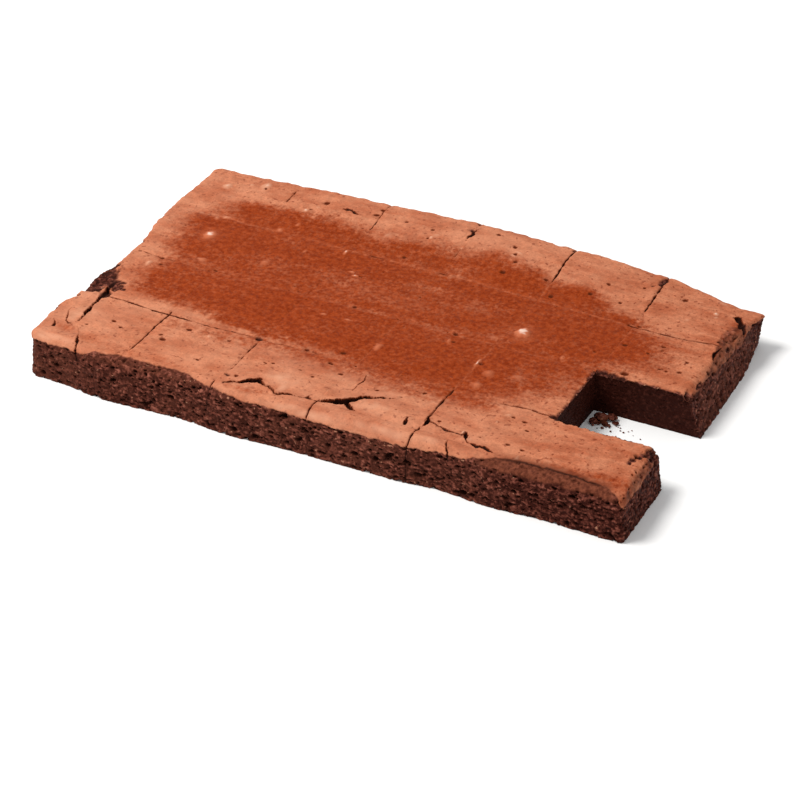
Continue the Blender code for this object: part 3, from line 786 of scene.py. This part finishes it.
    def cut(self):
        """Draws the cuts, open or dusty, with chips and specks beside them and beside the cracks, and painted
        shade in the open cuts and specks.
        """
        nearest, openness, plain = cut_marks(self.flat, self.points)
        nearest = nearest / np.clip(1.0 + self.noise(4.0, 75) + 0.5 * self.noise(1.5, 76), 0.3, 2.2)
        self.out -= 0.2 * np.exp(-((nearest / 1.4) ** 2)) + 1.5 * openness * np.exp(-((nearest / 0.42) ** 2))
        # Painted shade down the open cuts.
        self.least(cavity=smooth(0.0, 0.6, openness) * smooth(0.4 + 0.42 * openness, 0.15, nearest))
        broken = 0.08 + 0.92 * smooth(-0.1, 0.55, self.noise(6.0, 53) + 0.9 * self.noise(1.6, 60))
        self.least(dust=0.55 * smooth(0.25, 0.0, openness) * broken * plain * smooth(0.9, 0.1, nearest))
        self.least(dust=0.14 * plain * np.exp(-((nearest / 1.8) ** 2)) * (1.0 + self.noise(5.0, 81)))
        chipped = 0.26 * np.exp(-((nearest / 2.0) ** 2)) * (0.3 + plain)
        chipped = 0.025 + chipped + 0.25 * np.exp(-((self.beside / 2.0) ** 2))
        chip = dots(self.level, 4.5, 54, chipped, 0.5, 0.1, 0.9)
        self.out += 0.25 * chip
        self.least(dust=0.6 * chip)
        speck = dots(self.level, 4.0, 55, 0.03 + 0.8 * chipped, 0.5, 0.12, 0.9)
        self.out -= 0.4 * speck
        # Painted shade in the small dents of the specks.
        self.least(cavity=0.7 * speck)

    def bare_crumb(self):
        """Shapes the crumb wherever the crust has gone, with painted shade in its pores and hollows."""
        crumb, pore, lump = crumb_relief(self.points, 0.0)
        calm = 1.0 - 0.7 * self.dense
        bared = 1.0 - self.crust
        if "front" in self.up_and_in:
            lump = lump * (1.0 - read(FRONT_TONE, self.u) * smooth(2.0, -1.0, self.up_and_in["front"]))
        self.lump = lump
        self.out = self.out * (0.3 + 0.7 * self.crust) + bared * (crumb * calm - 0.75 + 0.35 * self.dense)
        # Painted shade in the pores.
        self.least(cavity=bared * pore * calm)
        # Painted shade in the broken hollows.
        self.least(cavity=0.75 * self.hollow * smooth(-0.2, 0.4, self.noise(3.4, 84)))
        # Painted shadow line under the rolled crust edge at the front right.
        self.least(cavity=0.85 * self.under)
        if "right" in self.up_and_in:
            torn = smooth(1.9, 2.3, self.v) * smooth(3.8, 3.5, self.v)
            torn = torn * smooth(2.0, 0.0, self.up_and_in["right"]) * bared
            self.dust = self.dust * self.crust
            self.least(dust=0.5 * torn * np.clip(0.5 + 0.7 * self.noise(5.0, 79), 0.0, 1.0))


def skin_looks(points, flat, up_and_in):
    """For points of the top and outer walls: how far each stands out, and the looks that go with it."""
    skin = Skin(points, flat, up_and_in)
    skin.lay_crust()
    skin.colour_crust()
    skin.break_and_fold()
    skin.crack()
    skin.mark()
    skin.scatter()
    skin.cut()
    skin.bare_crumb()
    return skin.out, {name: getattr(skin, name) for name in LOOKS}


# The portions

def spread_over_side(grid, side, shift):
    """Carries the shift of a cut side's edges on over the side, dying out towards its middle."""
    number, used = grid.number[grid.sheet(side)], grid.used[grid.sheet(side)]
    along = grid.along(side)
    total = shift[number[:, 0]][:, None] * smooth(SIDE_REACH, 0.0, grid.depths)[None, :, None]
    inner = used & (np.arange(used.shape[1]) > 0)
    ends = ("front", "back") if side in ("left", "right") else ("left", "right")
    for end, place in zip(ends, (0, -1)):
        if grid.kinds[end] == "wall":
            fade = smooth(SIDE_REACH, 0.0, np.abs(along - along[place]))
            rest = shift[number[place]] - total[place]
            total = total + fade[:, None, None] * rest[None]
            inner[place] = False
    shift[number[inner]] = total[inner]


def shape_side(grid, side, points, shift, looks):
    """Keeps a cut side clear of its neighbour, and shapes and darkens the cut crumb below its top edge,
    partly with painted shade.
    """
    axis, outward = SIDES[side]
    on_side = grid.on(side)
    shift[on_side, axis] = outward * np.minimum(outward * shift[on_side, axis], 0.0)
    spread_over_side(grid, side, shift)
    inner = on_side & ~grid.skin()
    crumb, pore, lump = crumb_relief(points[inner], 0.9)
    along = grid.along(side)
    place = along[grid.lines[inner, 1 - axis]]
    fade = smooth(0.0, 2.0, np.minimum(place - along[0], along[-1] - place))  # none at the upright edges
    fade = fade * smooth(0.0, 2.0, grid.depth[inner])
    shift[inner, axis] += outward * np.minimum(crumb - 0.15, 0.0) * fade
    # Painted shade in the cut crumb's pores, and a darkening of the whole side: partly denser crumb, partly
    # painted shade.
    looks["cavity"][inner] = np.maximum(pore * fade, KNIFE_DARK_AND_SHADE)
    looks["lump"][inner] = lump
    looks["crust"][inner] = smooth(0.9, 0.25, grid.depth[inner])


def chip_edge(grid, side, points, shift, looks):
    """Chips the crust away, unevenly, along the top of a side that was cut free."""
    axis, way = SIDES[side]
    place = (grid.xs, grid.ys)[axis]
    gap = np.abs(place[grid.lines[:, axis]] - place[min(-way, 0)]) + 0.8 * grid.depth
    reach = 0.9 + 1.5 * noise(points, 4.5, 71) + 0.9 * noise(points, 1.6, 72)
    gone = smooth(0.3, -0.4, gap - reach) * (grid.lines[:, 2] <= grid.shallow)
    shift[:, 2] -= 0.9 * gone * (1.0 + 0.8 * noise(points, 2.0, 73))
    looks["crust"] *= 1.0 - gone
    looks["lump"] = np.maximum(looks["lump"], gone * smooth(-0.4, 0.5, noise(points, 1.8, 74)))


def portion_looks(grid, points, up_and_in):
    """Where the points end up, and the looks at each."""
    skin = grid.skin()
    out = np.zeros(len(points))
    looks = {name: np.zeros(len(points)) for name in LOOKS}
    near = {side: inset[skin] for side, inset in up_and_in.items()}
    out[skin], found = skin_looks(points[skin], grid.flat()[skin], near)
    for name, values in found.items():
        looks[name][skin] = values
    shift = out[:, None] * normals(points, grid.faces()[0])
    for side, kind in grid.kinds.items():
        if kind != "wall":
            shape_side(grid, side, points, shift, looks)
        if kind == "notch":
            chip_edge(grid, side, points, shift, looks)
    shift[grid.lines[:, 2] == grid.used.shape[2] - 1, 2] = 0.0
    placed = points + shift
    placed[:, 2] = np.maximum(placed[:, 2], 0.0)
    return placed, looks


def add_object(name, data):
    """A new object in the scene."""
    made = bpy.data.objects.new(name, data)
    bpy.context.scene.collection.objects.link(made)
    return made


def mesh_object(name, points, faces, outlines, looks, material):
    """A smooth-shaded mesh from points in slab millimetres, with its looks stored at each point."""
    mesh = bpy.data.meshes.new(name)
    corners = np.concatenate([faces.ravel()] + [np.array(outline) for outline in outlines])
    sizes = np.array([faces.shape[1]] * len(faces) + [len(outline) for outline in outlines])
    mesh.vertices.add(len(points))
    mesh.vertices.foreach_set("co", ((points + CORNER) * MM).astype(np.float32).ravel())
    mesh.loops.add(len(corners))
    mesh.loops.foreach_set("vertex_index", corners.astype(np.int32))
    mesh.polygons.add(len(sizes))
    mesh.polygons.foreach_set("loop_start", (np.cumsum(sizes) - sizes).astype(np.int32))
    mesh.update(calc_edges=True)
    mesh.polygons.foreach_set("use_smooth", np.ones(len(sizes), bool))
    for look, values in looks.items():
        mesh.attributes.new(look, "FLOAT", "POINT").data.foreach_set("value", values.astype(np.float32))
    mesh.validate()
    mesh.materials.append(material)
    piece = add_object(name, mesh)
    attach(piece, "root")
    return piece


def portion(column, row, material):
    """One portion, in place of its node in the frame."""
    grid = Grid(column, row)
    x, y = grid.xs[grid.lines[:, 0]], grid.ys[grid.lines[:, 1]]
    points, up_and_in = shaped(x, y, 1.0 - grid.depth / THICKNESS, grid.walls)
    points, looks = portion_looks(grid, points, up_and_in)
    skin, inner, outlines = grid.faces()
    name = f"r{row + 1}_c{column + 1}"
    piece = mesh_object("brownie_" + name, points, np.concatenate([skin, inner]), outlines, looks, material)
    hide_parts("portion_" + name)


# Materials

class Nodes:
    """Short ways to add nodes to a material."""

    def __init__(self, material):
        self.tree = material.node_tree
        self.place = self.add("ShaderNodeTexCoord").outputs["Object"]

    def add(self, kind, **settings):
        node = self.tree.nodes.new(kind)
        for name, value in settings.items():
            setattr(node, name, value)
        return node

    def put(self, socket, value):
        """Joins a socket to another, or gives it a number or a colour."""
        if isinstance(value, bpy.types.NodeSocket):
            self.tree.links.new(value, socket)
        else:
            socket.default_value = (*value, 1.0) if isinstance(value, tuple) else value

    def look(self, name):
        return self.add("ShaderNodeAttribute", attribute_name=name).outputs["Fac"]

    def math(self, operation, a, b):
        node = self.add("ShaderNodeMath", operation=operation)
        self.put(node.inputs[0], a)
        self.put(node.inputs[1], b)
        return node.outputs[0]

    def times(self, a, b):
        return self.math("MULTIPLY", a, b)

    def plus(self, a, b):
        return self.math("ADD", a, b)

    def ramp(self, value, low, high, out_low=0.0, out_high=1.0):
        """out_low where the value is low, out_high where it is high, and an even curve between."""
        node = self.add("ShaderNodeMapRange", interpolation_type="SMOOTHSTEP")
        for socket, number in zip(node.inputs[:5], (value, low, high, out_low, out_high)):
            self.put(socket, number)
        return node.outputs["Result"]

    def noise(self, size, detail=2.0, roughness=0.5, stretch=(1.0, 1.0, 1.0)):
        """Random values about 0.5, with lumps of this size in millimetres."""
        place = self.place
        if stretch != (1.0, 1.0, 1.0):
            mapping = self.add("ShaderNodeMapping")
            self.put(mapping.inputs["Vector"], place)
            mapping.inputs["Scale"].default_value = stretch
            place = mapping.outputs[0]
        node = self.add("ShaderNodeTexNoise")
        self.put(node.inputs["Vector"], place)
        node.inputs["Scale"].default_value = 1.0 / (size * MM)
        node.inputs["Detail"].default_value = detail
        node.inputs["Roughness"].default_value = roughness
        return node.outputs["Fac"]

    def mix(self, share, first, second, blend="MIX"):
        """The first colour where the share is 0, the second where it is 1."""
        node = self.add("ShaderNodeMix", data_type="RGBA", blend_type=blend)
        self.put(node.inputs[0], share)
        self.put(node.inputs[6], first)
        self.put(node.inputs[7], second)
        return node.outputs[2]


def crust_colour(nodes):
    """Matt, pale brown crust, dark and moist in the middle, dusty where it is stretched or chipped, and with
    painted highlights.
    """
    blotches = nodes.ramp(nodes.noise(14.0, 5.0, 0.62, (0.4, 1.0, 1.0)), 0.34, 0.66)
    pale = nodes.mix(blotches, (0.365, 0.096, 0.042), (0.5, 0.178, 0.092))
    dark = nodes.mix(nodes.ramp(nodes.noise(3.6, 5.0, 0.75), 0.32, 0.68),
                     (0.208, 0.0225, 0.002), (0.27, 0.043, 0.0086))
    moist = nodes.look("moist")
    mottled = nodes.plus(moist, nodes.ramp(nodes.noise(2.6, 3.0, 0.65), 0.3, 0.7, -0.22, 0.2))
    colour = nodes.mix(nodes.ramp(mottled, 0.02, 1.02), pale, dark)
    grain = nodes.times(nodes.ramp(nodes.noise(1.2, 2.0, 0.6), 0.3, 0.7, 0.87, 1.1),
                       nodes.ramp(nodes.noise(3.6, 3.0, 0.6), 0.3, 0.7, 0.88, 1.12))
    colour = nodes.mix(1.0, colour, grain, "MULTIPLY")
    specks = nodes.ramp(nodes.noise(2.4, 1.0, 0.4), 0.65, 0.71, 0.0, 0.75)
    colour = nodes.mix(specks, colour, (0.17, 0.026, 0.009))
    streaks = nodes.times(nodes.ramp(nodes.noise(3.0, 2.0, 0.5, (0.45, 1.0, 1.0)), 0.64, 0.74, 0.0, 0.35),
                         nodes.ramp(moist, 0.2, 0.8, 1.0, 0.0))
    colour = nodes.mix(streaks, colour, (0.56, 0.23, 0.13))
    dust = nodes.look("dust")
    # The pale colour is stretched and chipped crust, and painted highlights on the rolled lip, folds and
    # blisters.
    flaked_and_highlight = nodes.mix(nodes.ramp(moist, 0.3, 0.9), (0.62, 0.3, 0.185), (0.56, 0.17, 0.08))
    # Painted highlight: the palest blister cores go whitish.
    white = nodes.mix(nodes.ramp(dust, 0.8, 1.15), flaked_and_highlight, (0.7, 0.5, 0.41))
    return nodes.mix(nodes.times(dust, 0.9), colour, white)


def crumb_colour(nodes):
    """Very dark crumb, redder on lumps and partly lit there by a painted highlight, a few pale flecks, and a
    smoother, paler band under the crust.
    """
    lump = nodes.look("lump")
    lumps = nodes.plus(lump, nodes.ramp(nodes.noise(1.9, 3.0, 0.65), 0.3, 0.7, -0.36, 0.36))
    # Lighter and redder on the raised lumps: partly the crumb's own colour, partly a painted highlight.
    colour = nodes.mix(nodes.ramp(lumps, 0.0, 0.7), (0.034, 0.0066, 0.004), (0.124, 0.033, 0.021))
    red = nodes.times(nodes.ramp(lumps, 0.45, 1.05), nodes.ramp(nodes.noise(5.0, 2.0, 0.6), 0.38, 0.6))
    colour = nodes.mix(red, colour, (0.27, 0.088, 0.059))
    flecks = nodes.times(nodes.ramp(nodes.noise(2.4, 1.0, 0.4), 0.7, 0.74, 0.0, 0.8),
                        nodes.ramp(lump, 0.15, 0.3))
    colour = nodes.mix(flecks, colour, (0.4, 0.19, 0.115))
    band = nodes.mix(nodes.ramp(nodes.noise(2.6, 3.0, 0.65), 0.35, 0.65),
                     (0.095, 0.023, 0.011), (0.2, 0.056, 0.028))
    colour = nodes.mix(nodes.times(nodes.look("dense"), 0.9), colour, band)
    return nodes.mix(nodes.times(nodes.look("dust"), 0.6), colour, (0.23, 0.072, 0.04))


def new_material(name):
    """A material and its shader."""
    material = bpy.data.materials.new(name)
    material.use_nodes = True
    return material, material.node_tree.nodes["Principled BSDF"]


def brownie_material():
    """Crust and crumb, told apart by what is stored on the meshes."""
    material, shader = new_material("brownie")
    nodes = Nodes(material)
    crust = nodes.look("crust")
    cavity = nodes.look("cavity")
    # Painted shade: near black in pores, cracks, pits, open cuts and hollows.
    hole = (0.014, 0.0036, 0.0022)
    crumb = nodes.mix(nodes.times(cavity, 0.93), crumb_colour(nodes), hole)
    # Painted shade on the crust: dark brown where shallow, near black where deepest.
    skin = nodes.mix(nodes.ramp(cavity, 0.0, 0.65), crust_colour(nodes), (0.125, 0.019, 0.0036))
    skin = nodes.mix(nodes.ramp(cavity, 0.55, 1.0, 0.0, 0.97), skin, hole)
    colour = nodes.mix(crust, crumb, skin)
    nodes.put(shader.inputs["Base Color"], colour)
    matt = nodes.ramp(nodes.noise(3.0, 3.0, 0.6), 0.3, 0.7, 0.5, 0.64)
    gloss = nodes.times(nodes.times(nodes.look("moist"), crust), 0.1)
    nodes.put(shader.inputs["Roughness"], nodes.math("SUBTRACT", matt, gloss))
    shader.inputs["Specular IOR Level"].default_value = 0.03
    fine = nodes.noise(0.7, 3.0, 0.6)
    coarse = nodes.noise(1.8, 4.0, 0.65)
    height = nodes.plus(nodes.times(fine, 0.07), nodes.times(coarse, 0.05))
    rough = nodes.times(coarse, nodes.math("SUBTRACT", 1.0, crust))
    height = nodes.plus(height, nodes.times(rough, 0.9))
    bump = nodes.add("ShaderNodeBump")
    bump.inputs["Distance"].default_value = 1.0 * MM
    bump.inputs["Strength"].default_value = 0.6
    nodes.put(bump.inputs["Height"], height)
    nodes.put(shader.inputs["Normal"], bump.outputs[0])
    return material


# Crumbs

CRUMB_HEAPS = (  # slab millimetres: x, y, z, spread along x and y, how many, smallest and largest size
    (361.0, 115.0, 0.0, 7.0, 6.0, 26, 0.8, 2.8),
    (372.0, 112.0, 0.0, 16.0, 9.0, 16, 0.5, 1.5),
)
BIG_CRUMBS = (  # x, y, z of the middle, size
    (359.0, 117.0, 2.8, 4.4), (365.0, 120.5, 2.4, 3.4), (356.0, 112.0, 2.0, 3.0), (363.0, 113.5, 1.4, 2.2),
    (369.5, 117.0, 1.2, 1.9),
)


def crumb_shape(centre, size, seed):
    """The points and faces of one lumpy crumb that rests on its lowest point's level."""
    builder = bmesh.new()
    bmesh.ops.create_icosphere(builder, subdivisions=3, radius=1.0)
    points = np.array([vertex.co for vertex in builder.verts])
    faces = np.array([[vertex.index for vertex in face.verts] for face in builder.faces])
    builder.free()
    lumps = 1.0 + 0.35 * noise(points + seed, 0.9, 61) + 0.18 * noise(points + seed, 0.4, 62)
    return points * lumps[:, None] * size * (1.0, 0.8, 0.6) + centre, faces


def crumbs(material):
    """The crumbs that fell where the portion was taken out, as one piece."""
    random = np.random.default_rng(7)
    placed = list(BIG_CRUMBS)
    for x, y, z, spread_x, spread_y, count, smallest, largest in CRUMB_HEAPS:
        for _ in range(count):
            size = random.uniform(smallest, largest) / 2
            placed.append((x + random.normal() * spread_x / 2, y + random.normal() * spread_y / 2,
                           z + size * 0.5, size))
    points, faces, total = [], [], 0
    for number, (x, y, z, size) in enumerate(placed):
        shape, sides = crumb_shape((x, y, z), size, 3.7 * number)
        shape[:, 2] = np.maximum(shape[:, 2], 0.0)
        points.append(shape)
        faces.append(sides + total)
        total += len(shape)
    points = np.concatenate(points)
    looks = {name: np.zeros(total) for name in LOOKS}
    looks["dense"] = 0.8 * smooth(0.0, 0.5, noise(points, 5.0, 63))
    looks["lump"] = smooth(-0.3, 0.5, noise(points, 1.5, 64))
    mesh_object("crumbs", points, np.concatenate(faces), [], looks, material)


# Stage

FLOOR_SIDE = 12.0
KEY_AZIMUTH, KEY_ELEVATION, KEY_DISTANCE, KEY_SIZE, KEY_POWER = -63.0, 59.0, 2.4, 1.0, 54.0
ROOM_LIGHT = 0.62
CAMERA_AZIMUTH, CAMERA_ELEVATION, CAMERA_DISTANCE, LENS = 26.968, 33.012, 1.7598, 126.15
AIM = (3.633, 0.558)  # in portion lengths from the corner of the grid


def floor():
    """A wide, plain white floor."""
    material, shader = new_material("floor")
    shader.inputs["Base Color"].default_value = (0.9, 0.9, 0.9, 1.0)
    shader.inputs["Roughness"].default_value = 0.9
    shader.inputs["Specular IOR Level"].default_value = 0.0
    mesh = bpy.data.meshes.new("floor")
    half = FLOOR_SIDE / 2
    corners = [(-half, -half, 0.0), (half, -half, 0.0), (half, half, 0.0), (-half, half, 0.0)]
    mesh.from_pydata(corners, [], [(0, 1, 2, 3)])
    mesh.materials.append(material)
    plane = add_object("floor", mesh)
    plane.location.z = cad_box[0][2] - 0.0002  # just clear of the underside


def aim(thing, target, azimuth, elevation, distance):
    """Places a light or camera so that it looks at the target. Azimuth 0 is the front; both are degrees."""
    a, e = math.radians(azimuth), math.radians(elevation)
    back = Vector((math.sin(a) * math.cos(e), -math.cos(a) * math.cos(e), math.sin(e)))
    thing.location = target + back * distance
    thing.rotation_euler = back.to_track_quat("Z", "Y").to_euler()


def lights():
    """One soft key light from the left, a little behind, in a white room."""
    key = bpy.data.lights.new("key", "AREA")
    key.shape = "DISK"
    key.size = KEY_SIZE
    key.energy = KEY_POWER
    key.color = (1.0, 0.985, 0.96)
    aim(add_object("key", key), Vector(), KEY_AZIMUTH, KEY_ELEVATION, KEY_DISTANCE)
    world = bpy.data.worlds.new("room")
    world.use_nodes = True
    background = world.node_tree.nodes["Background"]
    background.inputs["Color"].default_value = (1.0, 1.0, 1.0, 1.0)
    background.inputs["Strength"].default_value = ROOM_LIGHT
    bpy.context.scene.world = world
    bpy.context.scene.view_settings.view_transform = "Standard"


def camera():
    """A long lens from the front right, above."""
    data = bpy.data.cameras.new("camera")
    data.sensor_width = 36.0
    data.lens = LENS
    data.clip_end = 50.0
    target = Vector((CORNER + (AIM[0] * PORTION_LENGTH, AIM[1] * PORTION_LENGTH, THICKNESS)) * MM)
    eye = add_object("camera", data)
    aim(eye, target, CAMERA_AZIMUTH, CAMERA_ELEVATION, CAMERA_DISTANCE)
    bpy.context.scene.camera = eye


brownie = brownie_material()
for row in range(ROWS):
    for column in range(COLUMNS):
        if (column, row) != TAKEN_OUT:
            portion(column, row, brownie)
crumbs(brownie)
floor()
lights()
camera()
